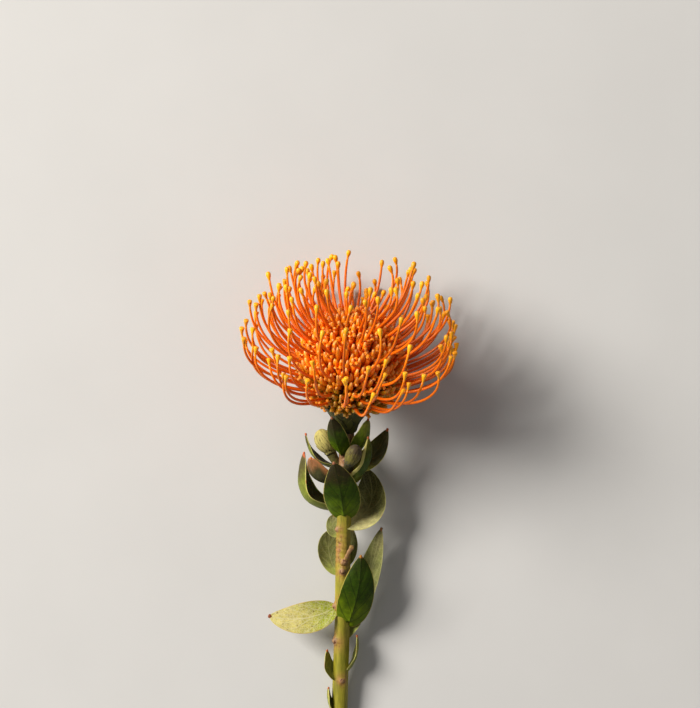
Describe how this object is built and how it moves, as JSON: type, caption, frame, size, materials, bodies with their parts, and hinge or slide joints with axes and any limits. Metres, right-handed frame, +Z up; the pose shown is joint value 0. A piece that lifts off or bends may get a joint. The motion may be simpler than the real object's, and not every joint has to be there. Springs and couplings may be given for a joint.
{
  "type": "pincushion protea flower",
  "caption": "Cut pincushion protea lying on its side: round orange head of curved styles with yellow knobs, leafy green stem, side buds and a slanted cut end.",
  "frame": {"origin": "on the surface that the flower lies on, under the middle of its box", "axes": "+Y along the stem towards the flower head, +Z up from the surface, +X to the right seen from above with the head at the top"},
  "size_m": [0.1066, 0.2621, 0.0974],
  "materials": {
    "stem": "fresh green stem, satin, browner at the leaf scars",
    "leaf": "leathery leaf, satin, paler margin and veins",
    "bract": "small green bracts, finely hairy, matte",
    "bud": "pale yellow-green bud scales, finely hairy, matte",
    "floret": "fresh orange florets, waxy satin"
  },
  "bodies": {
    "root": {"stem": "stem", "flower_head": "floret", "bract_cup": "bract", "leaf_neck_front": "leaf", "leaf_neck_right": "leaf", "leaf_bud_right": "leaf", "leaf_back_right": "leaf", "leaf_thin_left": "leaf", "leaf_left_big": "leaf", "leaf_inner_left": "leaf", "leaf_front_middle": "leaf", "leaf_right_big": "leaf", "leaf_small_left": "leaf", "leaf_left_back": "leaf", "leaf_right_thin": "leaf", "leaf_front_right": "leaf", "leaf_long_right": "leaf", "leaf_left_flat": "leaf", "leaf_edge_right": "leaf", "leaf_small_low": "leaf", "leaf_edge_low": "leaf", "leaf_under_neck": "leaf", "side_bud_left": "bud", "side_bud_right": "bud"}
  },
  "joints": []
}
